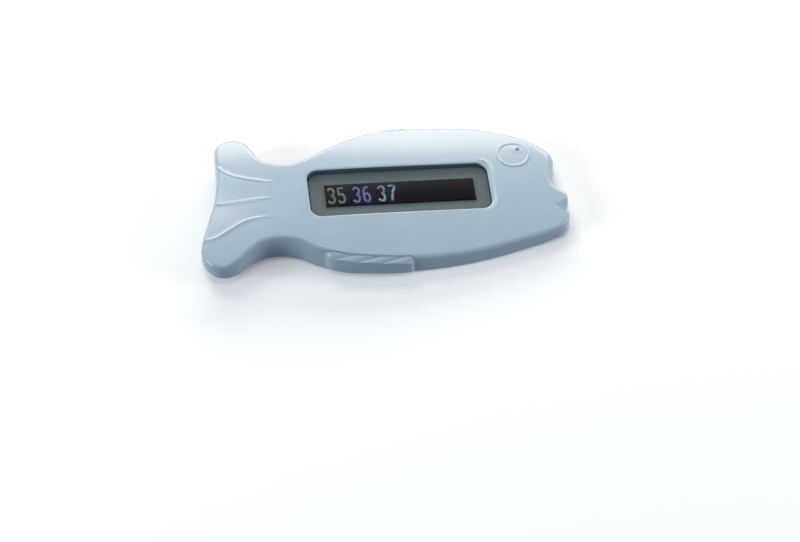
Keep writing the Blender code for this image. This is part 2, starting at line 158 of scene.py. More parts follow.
def distance(points, line, closed=True):
    """Shortest distance from each point to a line of points."""
    ends = np.roll(line, -1, axis=0) if closed else line[1:]
    best = np.full(len(points), np.inf)
    for start, end in zip(line, ends):
        run = end - start
        share = np.clip((points - start) @ run / (run @ run), 0, 1)
        gap = points - start - share[:, None] * run
        best = np.minimum(best, (gap ** 2).sum(axis=1))
    return np.sqrt(best)


def inside(points, loop):
    """True for each point inside the loop, by counting the edges to its right."""
    found = np.zeros(len(points), bool)
    x, y = points.T
    for (x0, y0), (x1, y1) in zip(loop, np.roll(loop, -1, axis=0)):
        if y0 == y1:
            continue
        spans = (y0 > y) != (y1 > y)
        found ^= spans & (x < (x1 - x0) * (y - y0) / (y1 - y0) + x0)
    return found


def normals_out(loop):
    ahead = np.roll(loop, -1, axis=0) - np.roll(loop, 1, axis=0)
    ahead /= np.linalg.norm(ahead, axis=1)[:, None]
    return np.stack([ahead[:, 1], -ahead[:, 0]], axis=1)


def inset(loop, amount):
    """The loop moved inwards, without the knots that it would make at tight bends."""
    moved = loop - normals_out(loop) * amount
    return moved[distance(moved, loop) > amount * INSET_KEPT]


def turned(points):
    """Flat points turned about the origin by the small angle of the window to the fish."""
    cosine, sine = math.cos(WINDOW_TURN), math.sin(WINDOW_TURN)
    return np.asarray(points) @ np.array(((cosine, sine), (-sine, cosine)))


def rounded_rectangle(length, width, corner, centre, corner_steps=10, spacing=1.0):
    points = []
    for turn, (sx, sy) in enumerate(((1, 1), (-1, 1), (-1, -1), (1, -1))):
        middle = np.array((sx * (length / 2 - corner), sy * (width / 2 - corner)))
        for step in range(corner_steps + 1):
            angle = math.radians(90 * (turn + step / corner_steps))
            points.append(middle + corner * np.array((math.cos(angle), math.sin(angle))))
    loop = []
    for start, end in zip(points, points[1:] + points[:1]):
        count = max(1, round(float(np.linalg.norm(end - start)) / spacing))
        loop += [start + (end - start) * step / count for step in range(count)]
    return turned(loop) + centre


window = rounded_rectangle(WINDOW_LENGTH, WINDOW_WIDTH, WINDOW_CORNER, WINDOW_CENTRE)
print("window points:", len(window))

# %% [markdown]
# ## Heights
# The back of the fish is crowned and falls towards the nose, and the belly is flat in the middle
# and swept up at both ends. Each is a height that depends on the place alone. A quarter circle,
# written as a drop that depends on the distance to an edge, rounds that edge. The lip of the window
# is such a drop too, and at the nose end it widens into a slanted band with a fine bead round it.

# %% Height formulas
WELD = 0.001
FIN_REAR = -25.3
FIN_FRONT = 9.2
FAR_FIN_AHEAD = 4.5
FIN_REAR_ROUND = 5.0
FIN_FRONT_ROUND = 0.5
FAR_FIN_ROUND = 1.5
FAR_FIN_SWELL = (0.20, 0.84)
NEAR_EDGE_LESS = 0.7
HEAD_EDGE_MORE = 1.6
HEAD_EDGE_GROWS = (60.0, 69.0)
SIDE_CHANGE = 10.0
LIP_WIDTH = 2.3
LIP_DEPTH = 1.2
LIP_SLANT = 1.7
LIP_BEAD = 0.14
LIP_BEAD_HALF = 0.55
LIP_FROM_END = 0.5
LIP_NEAR_SHARE = 0.4
LIP_FULL_FROM = -4.0


def ridge_height(x):
    curve = np.polyfit(RIDGE_STATIONS, RIDGE_HEIGHTS, 3)
    return np.polyval(curve, np.asarray(x) / BODY_LENGTH)


def crown_height(x, y):
    return ridge_height(x) - CROWN_DROP * (y / (BODY_WIDTH / 2)) ** 2


def keel_height(x):
    rear = np.maximum(0.0, FLAT_REAR - x) / (BODY_LENGTH / 2 + FLAT_REAR)
    front = np.maximum(0.0, x - FLAT_FRONT) / (BODY_LENGTH / 2 - FLAT_FRONT)
    return TAIL_LIFT * rear ** 2 + NOSE_LIFT * front ** 2


def pocket_slope():
    """Rise of the window's floor for each millimetre along X."""
    middle = WINDOW_CENTRE[0]
    ends = ridge_height(np.array((middle - WINDOW_LENGTH / 2, middle + WINDOW_LENGTH / 2)))
    return float(ends[1] - ends[0]) / WINDOW_LENGTH


def pocket_plane(x, depth):
    middle = WINDOW_CENTRE[0]
    return float(ridge_height(middle)) - depth + pocket_slope() * (x - middle)


def smooth_step(value, low, high):
    share = np.clip((value - low) / (high - low), 0, 1)
    return share * share * (3 - 2 * share)


def bump(gap, half_width):
    """A smooth hill: one at the middle, zero at its foot."""
    return (1 + np.cos(math.pi * np.clip(np.abs(gap) / half_width, 0, 1))) / 2


def round_over(gap, radius):
    """How far a rounded edge has dropped at this distance from the edge."""
    reach = np.clip(radius - np.where(gap < WELD, 0.0, gap), 0, radius)
    return radius - np.sqrt(radius ** 2 - reach ** 2)


def edge_radius(x, y):
    """Radius of the top edge: tighter on the near side, and fuller at the front of the head."""
    front = smooth_step(x, *HEAD_EDGE_GROWS) * smooth_step(y, -SIDE_CHANGE, 0.0)
    return TOP_ROUND - NEAR_EDGE_LESS * smooth_step(-y, 0.0, SIDE_CHANGE) + HEAD_EDGE_MORE * front


def fin_share(x, y):
    """How much of the full fin stands at this place of the outline."""
    x = x - np.where(y > 0, FAR_FIN_AHEAD, 0.0)
    near = np.sqrt(1 - (1 - np.clip((x - FIN_REAR) / FIN_REAR_ROUND, 0, 1)) ** 2)
    swell = np.interp(x, (FIN_REAR, FIN_FRONT), FAR_FIN_SWELL)
    far = smooth_step(x - FIN_REAR, 0.0, FAR_FIN_ROUND) * swell
    front = smooth_step(FIN_FRONT - x, 0.0, FIN_FRONT_ROUND)
    return np.where(y > 0, far, near) * front * (np.abs(y) > BODY_WIDTH / 4)


def lip_drop(points):
    """Drop of the window's lip: a tight rounding, and at the nose end a wide slanted band."""
    gap = distance(points, window)
    along, across = (points - WINDOW_CENTRE).T
    end = WINDOW_LENGTH / 2
    nose_end = smooth_step(along, end - WINDOW_CORNER, end - LIP_FROM_END)
    far_side = smooth_step(across, -WINDOW_WIDTH / 2, LIP_FULL_FROM)
    wide = nose_end * (LIP_NEAR_SHARE + (1 - LIP_NEAR_SHARE) * far_side)
    band = LIP_DEPTH * np.clip(1 - gap / LIP_WIDTH, 0, 1) ** LIP_SLANT
    bead = LIP_BEAD * bump(gap - LIP_WIDTH, LIP_BEAD_HALF)
    return round_over(gap, WINDOW_RIM) * (1 - wide) + (band - bead) * wide


print("ridge from tail to nose in mm:", ridge_height(np.linspace(-75, 75, 7)).round(2))

# %% [markdown]
# ## Reliefs moulded into the top
# The eye is a low disc with a round bead about it and a small sunken pupil. The tail has three thin
# raised rays, and the mouth is a notch that opens at the nose. On the real object the mould makes
# them in one with the shell, so here they are added to the height of the shell's top instead of
# being pieces of their own.

# %% Eye, rays and mouth as heights
EYE_RADIUS = 7.35
EYE_CENTRE = (55.2, 15.4)
EYE_BEAD_WIDTH = 1.5
EYE_BEAD_HEIGHT = 0.42
EYE_DISC_RISE = 0.22
EYE_DISC_EDGE = 0.4
PUPIL_CENTRE = (EYE_CENTRE[0] + 2.3, EYE_CENTRE[1] + 2.7)
PUPIL_RADIUS = 1.15
PUPIL_DEPTH = 0.7
PUPIL_FLOOR_SHARE = 0.35
PUPIL_LIP_HEIGHT = 0.12
PUPIL_LIP_AWAY = 0.35
PUPIL_LIP_HALF = 0.45
RAY_HEIGHT = 0.36
RAY_HALF_WIDTH = 0.9
RAY_TIP = 7.0
RAY_TIP_SHARE = 0.25
RAY_SPACING = 0.6
MOUTH_MIDDLE = -12.7
MOUTH_LENGTH = 7.2
MOUTH_OPENING = 7.4
MOUTH_DEPTH = 2.0
MOUTH_POINT_DEPTH = 0.4
MOUTH_SIDE = 0.7
MOUTH_FAR_SIDE = 3.6
RAY_SHARES = (
    (
        (-0.900, 0.540), (-0.878, 0.472), (-0.848, 0.381), (-0.807, 0.308),
        (-0.755, 0.252), (-0.692, 0.202), (-0.592, 0.152),
    ),
    (
        (-0.930, -0.118), (-0.896, -0.120), (-0.847, -0.122), (-0.777, -0.111),
        (-0.712, -0.102), (-0.648, -0.094), (-0.600, -0.092),
    ),
    (
        (-1.000, -0.615), (-0.958, -0.608), (-0.915, -0.592), (-0.876, -0.548), (-0.820, -0.475),
        (-0.765, -0.413), (-0.711, -0.378), (-0.657, -0.367), (-0.609, -0.368),
    ),
)


def finer(line, spacing):
    """The line with points this far apart, rounded by a smooth curve through the given ones."""
    line = np.array(line, float)
    runs = np.linalg.norm(np.diff(line, axis=0), axis=1)
    along = np.concatenate(((0,), np.cumsum(runs)))
    places = np.linspace(0, along[-1], max(2, round(along[-1] / spacing)))
    slopes = np.gradient(line, along, axis=0)
    index = np.clip(np.searchsorted(along, places, side="right") - 1, 0, len(line) - 2)
    width = (along[index + 1] - along[index])[:, None]
    share = ((places - along[index]) / width[:, 0])[:, None]
    return (
        (1 + 2 * share) * (1 - share) ** 2 * line[index]
        + share * (1 - share) ** 2 * width * slopes[index]
        + share ** 2 * (3 - 2 * share) * line[index + 1]
        + share ** 2 * (share - 1) * width * slopes[index + 1]
    )


half_size = (BODY_LENGTH / 2, BODY_WIDTH / 2)
rays = [finer(np.array(shares) * half_size, RAY_SPACING) for shares in RAY_SHARES]


def eye_relief(points):
    away = np.linalg.norm(points - EYE_CENTRE, axis=1)
    bead = EYE_BEAD_HEIGHT * bump(away - EYE_RADIUS + EYE_BEAD_WIDTH / 2, EYE_BEAD_WIDTH / 2)
    from_bead = smooth_step(away, EYE_RADIUS - EYE_BEAD_WIDTH, EYE_RADIUS - EYE_DISC_EDGE)
    disc = EYE_DISC_RISE * (1 - from_bead)
    from_pupil = np.linalg.norm(points - PUPIL_CENTRE, axis=1)
    hole = 1 - smooth_step(from_pupil, PUPIL_RADIUS * PUPIL_FLOOR_SHARE, PUPIL_RADIUS)
    lip = PUPIL_LIP_HEIGHT * bump(from_pupil - PUPIL_RADIUS - PUPIL_LIP_AWAY, PUPIL_LIP_HALF)
    return bead + disc - PUPIL_DEPTH * hole + lip


def ray_relief(points):
    height = np.zeros(len(points))
    for ray in rays:
        tip = np.linalg.norm(points - ray[-1], axis=1)
        fade = RAY_TIP_SHARE + (1 - RAY_TIP_SHARE) * smooth_step(tip, 0.0, RAY_TIP)
        hill = bump(distance(points, ray, closed=False), RAY_HALF_WIDTH)
        height = np.maximum(height, RAY_HEIGHT * fade * hill)
    return height


def mouth_depth(points):
    """Depth of the notch below the crown, from its point to the nose."""
    x, y = points.T
    share = (x - (BODY_LENGTH / 2 - MOUTH_LENGTH)) / MOUTH_LENGTH
    half = MOUTH_OPENING / 2 * share
    floor = MOUTH_POINT_DEPTH + (MOUTH_DEPTH - MOUTH_POINT_DEPTH) * share
    near = smooth_step(half + y - MOUTH_MIDDLE, 0.0, MOUTH_SIDE)
    far = np.clip((half - y + MOUTH_MIDDLE) / MOUTH_FAR_SIDE, 0, 1)
    return np.where(share > 0, floor * near * far, 0.0)


def shell_top(points):
    x, y = points.T
    rounding = round_over(distance(points, outline), edge_radius(x, y))
    sunk = np.maximum(rounding, mouth_depth(points))
    return crown_height(x, y) - sunk - lip_drop(points) + eye_relief(points) + ray_relief(points)


print("rays:", [len(ray) for ray in rays])

# %% [markdown]
# ## Patches and strips
# The shell is sewn from two kinds of cloth. A patch fills a flat outline with triangles, by a
# Delaunay triangulation that keeps given lines as edges, and is then lifted to its heights. That
# puts many small faces where the detail is and large ones where the surface is calm. A strip is a
# plain wall between two rims. All of them share the points of their rims, so a weld closes them.
# Along straight rims the triangulation leaves a few slivers without area. They make no hole, but
# they are why the printed count of odd edges, the ones without two faces, isn't always zero.

# %% Helpers that make patches and strips
ROW_SHARE = 0.866
SAME_POINT = 0.00001


def grid_points(low, high, pitch):
    """Points over a rectangle, in rows that are shifted in turn so that equal triangles fit."""
    xs = np.arange(low[0], high[0] + pitch, pitch)
    ys = np.arange(low[1], high[1] + pitch * ROW_SHARE, pitch * ROW_SHARE)
    rows = [(xs + (row % 2) * pitch / 2, np.full(len(xs), y)) for row, y in enumerate(ys)]
    return np.concatenate([np.stack(row, axis=1) for row in rows])


def apart(loose, fixed, least):
    """The loose points that lie at least this far from every fixed one."""
    tree = KDTree(len(fixed))
    for index, (x, y) in enumerate(fixed):
        tree.insert((x, y, 0), index)
    tree.balance()
    return loose[[tree.find((x, y, 0))[2] > least for x, y in loose]]


def triangulated(points, edges=()):
    """Triangles between flat points, with the given edges kept: (points, faces)."""
    spots = [Vector(point) for point in points]
    flat, _, faces, *_ = delaunay_2d_cdt(spots, list(edges), [], 0, SAME_POINT, False)
    return np.array([tuple(point) for point in flat]), np.array(faces)


def patch(loops, within, without=(), loose=None):
    """Triangles through the points of all loops, kept inside one group of loops and outside another."""
    edges = []
    start = 0
    for loop in loops:
        edges += [(start + step, start + (step + 1) % len(loop)) for step in range(len(loop))]
        start += len(loop)
    flat, faces = triangulated(np.concatenate(loops if loose is None else [*loops, loose]), edges)
    middles = flat[faces].mean(axis=1)
    kept = np.any([inside(middles, loop) for loop in within], axis=0)
    for loop in without:
        kept &= ~inside(middles, loop)
    return flat, faces[kept]


class Sewing:
    """Collects patches and strips in millimetres, and welds them into one mesh in metres."""

    def __init__(self, name):
        self.name = name
        self.points = []
        self.faces = []

    def add(self, points, faces):
        start = sum(len(part) for part in self.points)
        self.points.append(np.asarray(points))
        self.faces += [tuple(int(corner) + start for corner in face) for face in faces]

    def lifted(self, flat, faces, heights):
        self.add(np.column_stack([flat, heights]), faces)

    def strip(self, loop, low, high, rows=1):
        """A wall round a loop between two rims of heights."""
        count = len(loop)
        levels = [low + (high - low) * row / rows for row in range(rows + 1)]
        points = np.concatenate([np.column_stack([loop, level]) for level in levels])
        faces = []
        for row in range(rows):
            for step in range(count):
                a, b = row * count + step, row * count + (step + 1) % count
                faces.append((a, b, b + count, a + count))
        self.add(points, faces)

    def piece(self, sharp=40):
        mesh = bpy.data.meshes.new(self.name)
        points = np.concatenate(self.points) * MM
        mesh.from_pydata([tuple(point) for point in points], [], self.faces)
        bm = bmesh.new()
        bm.from_mesh(mesh)
        bmesh.ops.remove_doubles(bm, verts=bm.verts, dist=WELD * MM)
        bmesh.ops.recalc_face_normals(bm, faces=bm.faces)
        odd = sum(len(edge.link_faces) != 2 for edge in bm.edges)
        bm.to_mesh(mesh)
        triangles = sum(len(face.verts) - 2 for face in bm.faces)
        volume = round(bm.calc_volume() * 1e6, 2)
        print(self.name, "triangles:", triangles, "odd edges:", odd, "cm3:", volume)
        bm.free()
        mesh.shade_smooth()
        mesh.set_sharp_from_angle(angle=math.radians(sharp))
        obj = bpy.data.objects.new(self.name, mesh)
        bpy.context.scene.collection.objects.link(obj)
        return obj


# %% [markdown]
# ## The top of the shell
# The top is one patch with the window left out. Rings of points follow the rounded edge, the rim of
# the window, the bead of the eye and the rays, because a crisp highlight needs edges that run along
# the form. A fine grid covers the mouth, and a wider one fills the rest.

# %% Make the top patch
EDGE_RINGS = (0.0, 0.04, 0.15, 0.34, 0.6, 0.92, 1.28, 1.65, 2.05, 2.6, 3.2, 3.9)
RIM_RINGS = (
    0.0, 0.03, 0.1, 0.22, 0.38, 0.58, 0.82, 1.2, 1.6,
    1.85, 2.0, 2.15, 2.3, 2.45, 2.6, 2.75, 2.9,
)
BEAD_RINGS = np.linspace(-1.9, 0.3, 12)
FIN_SEAM = 0.75
PUPIL_RINGS = (0.25, 0.5, 0.7, 0.9, 1.1, 1.4, 1.8)
PUPIL_SPACING = 0.25
RAY_RINGS = (0.3, 0.6, 0.9)
MOUTH_AREA = ((-9.5, -5.0), (-0.5, 5.0))
MOUTH_GRID = 0.32
DETAIL_RING = 3
DETAIL_FROM_EDGE = 0.25
GRID = 1.1
GRID_LEAST = GRID * 0.6


def circle(centre, radius, spacing=0.5):
    count = max(16, round(2 * math.pi * radius / spacing))
    turns = np.arange(count) * 2 * math.pi / count
    return np.stack([np.cos(turns), np.sin(turns)], axis=1) * radius + centre


def beside(line, gap):
    """The open line, moved to its right by a gap."""
    ahead = np.gradient(line, axis=0)
    ahead /= np.linalg.norm(ahead, axis=1)[:, None]
    return line + np.stack([ahead[:, 1], -ahead[:, 0]], axis=1) * gap


def window_ring(gap):
    return rounded_rectangle(
        WINDOW_LENGTH + 2 * gap, WINDOW_WIDTH + 2 * gap, WINDOW_CORNER + gap, WINDOW_CENTRE,
    )


wall_normals = normals_out(outline)
wall_fin = fin_share(*outline.T)
seam = outline - wall_normals * (FIN_SEAM * wall_fin)[:, None]


def edge_ring(gap):
    """A loop beside the rim of the top. Above the fins, where the rim steps back, it steps back too."""
    loop = inset(outline, gap)
    back = FIN_SEAM * fin_share(*loop.T) * (1 - gap / EDGE_RINGS[-1])
    return loop - normals_out(loop) * back[:, None]


def top_patch():
    loops = [seam] + [edge_ring(gap) for gap in EDGE_RINGS[1:]]
    loops += [window] + [window_ring(gap) for gap in RIM_RINGS[1:]]
    details = [circle(EYE_CENTRE, EYE_RADIUS + gap) for gap in BEAD_RINGS]
    details += [circle(PUPIL_CENTRE, radius, PUPIL_SPACING) for radius in PUPIL_RINGS]
    for ray in rays:
        details.append(ray)
        for gap in RAY_RINGS:
            details += [beside(ray, gap), beside(ray, -gap)]
    mouth = np.array(MOUTH_AREA) + (BODY_LENGTH / 2, MOUTH_MIDDLE)
    details.append(grid_points(*mouth, MOUTH_GRID))
    details = np.concatenate(details)
    from_edge = distance(details, outline)
    details = details[inside(details, loops[DETAIL_RING]) & (from_edge > DETAIL_FROM_EDGE)]
    even = grid_points((-BODY_LENGTH / 2, -BODY_WIDTH / 2), (BODY_LENGTH / 2, BODY_WIDTH / 2), GRID)
    calm = inside(even, loops[len(EDGE_RINGS) - 1]) & ~inside(even, window_ring(RIM_RINGS[-1]))
    even = apart(even[calm], np.concatenate([details, *loops]), GRID_LEAST)
    return patch(loops, [seam], [window], np.concatenate([details, even]))


flat, faces = top_patch()
shell = Sewing("fish_shell")
shell.lifted(flat, faces, shell_top(flat))
print("top patch: points", len(flat), "faces", len(faces))
print("rim points kept:", int((distance(flat, seam) < WELD).sum()), "of", len(seam))

# %% [markdown]
# ## The side walls and the fins
# The walls are easiest to draw unrolled, like the label of a tin: the way round the fish runs to the
# right and the height runs up. On that label a fin is one section that is swept along the wall: a
# narrow foot, an almost upright face, a shoulder, a sloping top, and a groove beside the body. Its
# corners are rounded by cutting them off again and again. Slanting valleys across the sloping top
# make it look like a rope, as on the real toy. The rear end swells up slowly and the front end
# is abrupt.

# %% Draw the section of a fin
FIN_SECTION = (
    (0.0, 0.0), (0.0, 0.02), (1.45, 0.04), (1.6, 0.13), (2.12, 0.76), (2.2, 0.85),
    (1.7, 0.872), (0.1, 0.94), (-0.3, 0.955), (-0.55, 0.905), (-0.75, 0.93), (-0.75, 1.0),
)
FIN_CREST = -0.3
WALL_TALL = 9.2


def rounded(corners, times=3):
    """The line with its corners cut off a few times, which rounds them."""
    line = np.array(corners)
    for _ in range(times):
        near = line[:-1] * 0.75 + line[1:] * 0.25
        far = line[:-1] * 0.25 + line[1:] * 0.75
        line = np.concatenate([line[:1], np.stack([near, far], axis=1).reshape(-1, 2), line[-1:]])
    return line


section_out, section_rise = rounded(FIN_SECTION).T
runs = np.hypot(np.diff(section_out), np.diff(section_rise) * WALL_TALL)
section_along = np.concatenate(((0.0,), np.cumsum(runs))) / runs.sum()
shoulder = section_along[section_out.argmax()]
crest = section_along[section_out > FIN_CREST].max()
print("fin section: shoulder at", shoulder.round(3), "crest at", crest.round(3), "of its length")

# %% Push the fins out of the walls
RIB_PITCH = 9.4
RIB_SLANT = 7.0
RIB_DEPTH = 1.1
FIRST_VALLEY = -19.3
WALL_PITCH = 1.4
FIN_PITCH = 0.25
FIN_ROWS = np.concatenate([
    np.linspace(0.01, 0.14, 8), np.linspace(0.18, 0.60, 9), np.linspace(0.62, 0.89, 19),
    np.linspace(0.90, 0.99, 10),
])
WALL_ROWS = (0.2, 0.4, 0.6, 0.8)
WALL_STRETCH = 8.0
WALL_LEAST = 0.8
VALLEY_SHARPNESS = 0.6
VALLEY_STARTS = (-0.12, 0.12)
VALLEY_ENDS = (1.0, 1.25)
VALLEY_BACK = 0.35
VALLEY_DOWN = 0.93

edge_lengths = np.linalg.norm(np.roll(outline, -1, axis=0) - outline, axis=1)
wall_along = np.concatenate(((0.0,), np.cumsum(edge_lengths)))
wall_low = keel_height(outline[:, 0]) + BASE_ROUND
wall_high = shell_top(seam)


def around(values, along):
    """Values given at the outline's points, read at any place along it."""
    closed = np.concatenate([values, values[:1]])
    return np.interp(along, wall_along, closed)


def rib_valley(x, y, share):
    """Depth of the slanting valleys at a share of the fin's section."""
    slope = (share - shoulder) / (crest - shoulder)
    from_first = x - np.where(y > 0, FAR_FIN_AHEAD, 0.0) - FIRST_VALLEY
    turn = (from_first - RIB_SLANT * (slope - 0.5)) / RIB_PITCH
    valley = 1 - np.abs(np.sin(math.pi * turn)) ** VALLEY_SHARPNESS
    fade = smooth_step(slope, *VALLEY_STARTS) * (1 - smooth_step(slope, *VALLEY_ENDS))
    return RIB_DEPTH * valley * fade


def wall_patch():
    """The unrolled wall. Its points are (place along the outline, share of the wall's height)."""
    length = wall_along[-1]
    low_rim = np.column_stack([wall_along[:-1], np.zeros(len(outline))])
    high_rim = low_rim + (0.0, 1.0)
    corners = [(0.0, 0.0), (0.0, 1.0), (length, 0.0), (length, 1.0)]
    ends = np.array(corners + [(place, step / 4) for step in (1, 2, 3) for place in (0.0, length)])
    places = np.arange(WALL_PITCH, length - WALL_PITCH / 2, WALL_PITCH)
    rows = [np.column_stack([places, np.full(len(places), share)]) for share in WALL_ROWS]
    places = np.arange(0, length, FIN_PITCH)
    places = places[around(np.roll(wall_fin, 1) + wall_fin + np.roll(wall_fin, -1), places) > 0]
    fine = [np.column_stack([places, np.full(len(places), share)]) for share in FIN_ROWS]
    tall = np.array((1.0, WALL_STRETCH))
    fine = np.concatenate(fine) * tall
    rows = apart(np.concatenate(rows) * tall, fine, WALL_LEAST)
    rims = np.concatenate([low_rim[1:], high_rim[1:], ends]) * tall
    flat, faces = triangulated(np.concatenate([rims, rows, fine]))
    return flat / tall, faces


def pushed_out(unrolled):
    """The unrolled wall's points in space, with the fins pushed out, and how far each went out."""
    along, share = unrolled.T
    share = np.clip(share, 0, 1)
    low, high = around(wall_low, along), around(wall_high, along)
    x, y, fin = (around(values, along) for values in (*outline.T, wall_fin))
    valley = fin * rib_valley(x, y, share)
    reach = fin * np.interp(share, section_along, section_out) - VALLEY_BACK * valley
    rise = share + fin * (np.interp(share, section_along, section_rise) - share)
    height = low + (high - low) * rise - VALLEY_DOWN * valley
    side = np.column_stack([around(values, along) for values in wall_normals.T])
    side /= np.linalg.norm(side, axis=1)[:, None]
    return np.column_stack([np.column_stack([x, y]) + side * reach[:, None], height]), reach


unrolled, faces = wall_patch()
wall_points, reach = pushed_out(unrolled)
shell.add(wall_points, faces)
print("wall patch: points", len(unrolled), "faces", len(faces))
print("furthest out in mm:", reach.max().round(2))

# %% [markdown]
# ## The underside, the inside and the window's pocket
# A float like this is closed from below by a plate that sits in a step of the shell. So the shell
# goes on under its rounded bottom edge: a narrow rim, the step for the plate, and the hollow inside
# with the pocket of the window hanging into it. Nobody sees the inside, but with it the shell is a
# closed solid with a real wall.

# %% Close the shell from below
POCKET_DEPTH = CARD_DEPTH + CARD_THICKNESS + CLEARANCE
BASE_RINGS = (0.03, 0.12, 0.3, 0.55, 0.88, 1.3)
INNER_BOX = ((-75, -34), (75, 34))
CEILING_GRID = 5.0
GRID_MARGIN = 1.5

rim_loop = inset(outline, RIM)
room_loop = inset(outline, WALL)
pocket_loop = window_ring(POCKET_WALL)
base_loops = [inset(outline, gap) for gap in BASE_RINGS]
flat, faces = patch([outline, rim_loop] + base_loops, [outline], [rim_loop])
shell.lifted(flat, faces, keel_height(flat[:, 0]) + round_over(distance(flat, outline), BASE_ROUND))

seat = COVER_THICKNESS + CLEARANCE
shell.strip(rim_loop, keel_height(rim_loop[:, 0]), keel_height(rim_loop[:, 0]) + seat)
flat, faces = patch([rim_loop, room_loop], [rim_loop], [room_loop])
shell.lifted(flat, faces, keel_height(flat[:, 0]) + seat)

ceiling = crown_height(*room_loop.T) - WALL
shell.strip(room_loop, keel_height(room_loop[:, 0]) + seat, ceiling, rows=2)
grid = grid_points(*INNER_BOX, CEILING_GRID)
near_pocket = inside(grid, window_ring(POCKET_WALL + GRID_MARGIN))
grid = grid[inside(grid, inset(outline, WALL + GRID_MARGIN)) & ~near_pocket]
flat, faces = patch([room_loop, pocket_loop], [room_loop], [pocket_loop], grid)
shell.lifted(flat, faces, crown_height(*flat.T) - WALL)

pocket_low = pocket_plane(pocket_loop[:, 0], POCKET_DEPTH + POCKET_WALL)
shell.strip(pocket_loop, pocket_low, crown_height(*pocket_loop.T) - WALL)
flat, faces = patch([pocket_loop], [pocket_loop])
shell.lifted(flat, faces, pocket_plane(flat[:, 0], POCKET_DEPTH + POCKET_WALL))
print("shell faces before the window is lined:", len(shell.faces))

# %% Line the window's pocket
window_high = crown_height(*window.T) - lip_drop(window)
shell.strip(window, pocket_plane(window[:, 0], POCKET_DEPTH), window_high, rows=3)
flat, faces = patch([window], [window])
shell.lifted(flat, faces, pocket_plane(flat[:, 0], POCKET_DEPTH))
fish_shell = shell.piece()
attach(fish_shell, "root")
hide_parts("front_shell")

# %% [markdown]
# ## The cover
# The plate that closes the shell follows the same outline, a little smaller, and the same keel. It
# is the simplest use of the same kit: a patch for the bottom with a rounded edge, a patch for the top
# and a strip between them.

# %% Make the cover
COVER_RINGS = (0.02, 0.08, 0.2, 0.4)
COVER_GRID = 3.0

cover_loop = inset(outline, RIM + CLEARANCE)
cover = Sewing("base_cover")
rings = [inset(outline, RIM + CLEARANCE + gap) for gap in COVER_RINGS]
grid = grid_points(*INNER_BOX, COVER_GRID)
grid = grid[inside(grid, inset(outline, RIM + CLEARANCE + GRID_MARGIN))]
flat, faces = patch([cover_loop] + rings, [cover_loop], loose=grid)
drop = round_over(distance(flat, cover_loop), COVER_ROUND)
cover.lifted(flat, faces, keel_height(flat[:, 0]) + drop)
flat, faces = patch([cover_loop], [cover_loop], loose=grid)
cover.lifted(flat, faces, keel_height(flat[:, 0]) + COVER_THICKNESS)
keel = keel_height(cover_loop[:, 0])
cover.strip(cover_loop, keel + COVER_ROUND, keel + COVER_THICKNESS)
base_cover = cover.piece()
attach(base_cover, "root")
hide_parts("back_cover")

# %% [markdown]
# ## The liquid crystal strip
# The strip is a thin black film. It has a cell for each degree, and in a warm cell the crystals
# behind the number turn from black to a colour. The film is a flat slab with rounded edges that lies
# on the card, and its numbers are thin inlays, drawn with strokes of an even width as a sign
# painter would. The inlays are real geometry, so they stay sharp at any size. Each is drawn as an
# open sheet, and a modifier gives it a thickness.

# %% Make the film
FILM_TOP = CARD_DEPTH - CLEARANCE - STRIP_THICKNESS
FILM_GAP = 0.02
FILM_BOTTOM = CARD_DEPTH - FILM_GAP
FILM_ROUND = 0.12
FILM_CORNER = 0.5
FILM_RINGS = (0.02, 0.06, FILM_ROUND)


def film_ring(gap):
    """The film's outline, moved inwards by a gap."""
    length, width = STRIP_LENGTH - 2 * gap, STRIP_WIDTH - 2 * gap
    return rounded_rectangle(length, width, FILM_CORNER - gap, STRIP_CENTRE, corner_steps=4, spacing=2.0)


film_loop = film_ring(0.0)
film = Sewing("crystal_film")
flat, faces = patch([film_loop] + [film_ring(gap) for gap in FILM_RINGS], [film_loop])
drop = round_over(distance(flat, film_loop), FILM_ROUND)
film.lifted(flat, faces, pocket_plane(flat[:, 0], FILM_TOP) - drop)
flat, faces = patch([film_loop], [film_loop])
film.lifted(flat, faces, pocket_plane(flat[:, 0], FILM_BOTTOM))
film_low = pocket_plane(film_loop[:, 0], FILM_BOTTOM)
film.strip(film_loop, film_low, pocket_plane(film_loop[:, 0], FILM_TOP + FILM_ROUND))
crystal_film = film.piece()
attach(crystal_film, "root")
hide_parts("crystal_strip")

# %% Draw the digits
DIGIT_HEIGHT = 8.7
DIGIT_WIDTH = 3.35
DIGIT_GAP = 0.8
STROKE = 1.05
STROKE_SPACING = 0.25
DIGITS_LOWER = 0.4
INLAY = 0.03
CELL_COUNT = 6
CELL = STRIP_LENGTH / CELL_COUNT
FIRST_DIGIT = 1.05


def arc(centre, radii, start, end, steps=14):
    """Points on part of an ellipse, from one angle in degrees to another."""
    turns = np.radians(np.linspace(start, end, steps))
    (x, y), (wide, tall) = centre, radii
    return [(x + wide * math.cos(turn), y + tall * math.sin(turn)) for turn in turns]


DIGIT_STROKES = {
    "3": (
        arc((0.47, 0.76), (0.53, 0.24), 160, -90),
        arc((0.45, 0.26), (0.55, 0.26), 90, -160),
    ),
    "5": (
        [(0.94, 1.0), (0.10, 1.0), (0.06, 0.57)],
        [(0.06, 0.57)] + arc((0.45, 0.30), (0.55, 0.30), 130, -155),
    ),
    "6": (
        arc((0.5, 0.28), (0.5, 0.28), -90, 270, 26),
        [(0.88, 0.97)] + arc((0.60, 0.62), (0.60, 0.38), 95, 180) + [(0.0, 0.28)],
    ),
    "7": ([(0.0, 1.0), (0.98, 1.0), (0.66, 0.55), (0.42, 0.0)],),
}


def stroke_outline(line, width):
    """A closed loop of the given width round an open line."""
    return np.concatenate([beside(line, width / 2), beside(line, -width / 2)[::-1]])


